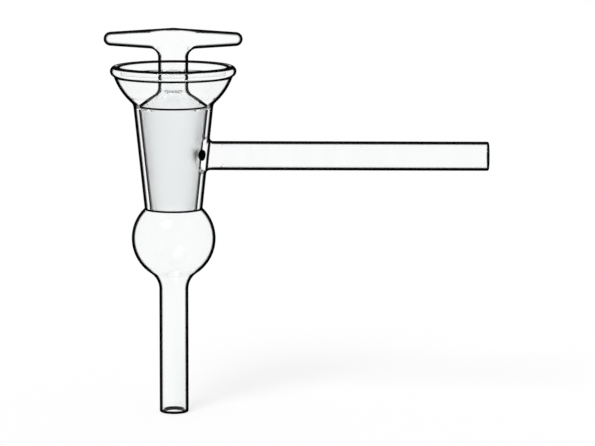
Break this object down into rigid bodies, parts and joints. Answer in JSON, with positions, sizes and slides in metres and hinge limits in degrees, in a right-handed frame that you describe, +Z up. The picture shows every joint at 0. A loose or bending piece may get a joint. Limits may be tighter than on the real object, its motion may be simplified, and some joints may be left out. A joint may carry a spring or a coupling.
{
  "type": "glass stopcock",
  "caption": "Right-angle laboratory glass stopcock with a hollow ground plug, T handle, beaded sealing cup, bulb and plain tube ends.",
  "frame": {"origin": "centre of the lower tube's open end, on the barrel's axis", "axes": "+Z up the barrel's axis towards the T handle, +X along the side arm towards its open end"},
  "size_m": [0.1317, 0.0432, 0.1332],
  "materials": {
    "clear_glass": "clear, fire polished",
    "ground_glass": "ground matt on the cone, clear above it"
  },
  "bodies": {
    "barrel": {"barrel": "clear_glass"},
    "plug": {"plug": "ground_glass"}
  },
  "joints": [
    {"name": "plug_turn", "type": "hinge", "parent": "barrel", "child": "plug", "pos_m": [0, 0, 0.0892], "axis": [0, 0, 1], "continuous": true}
  ]
}
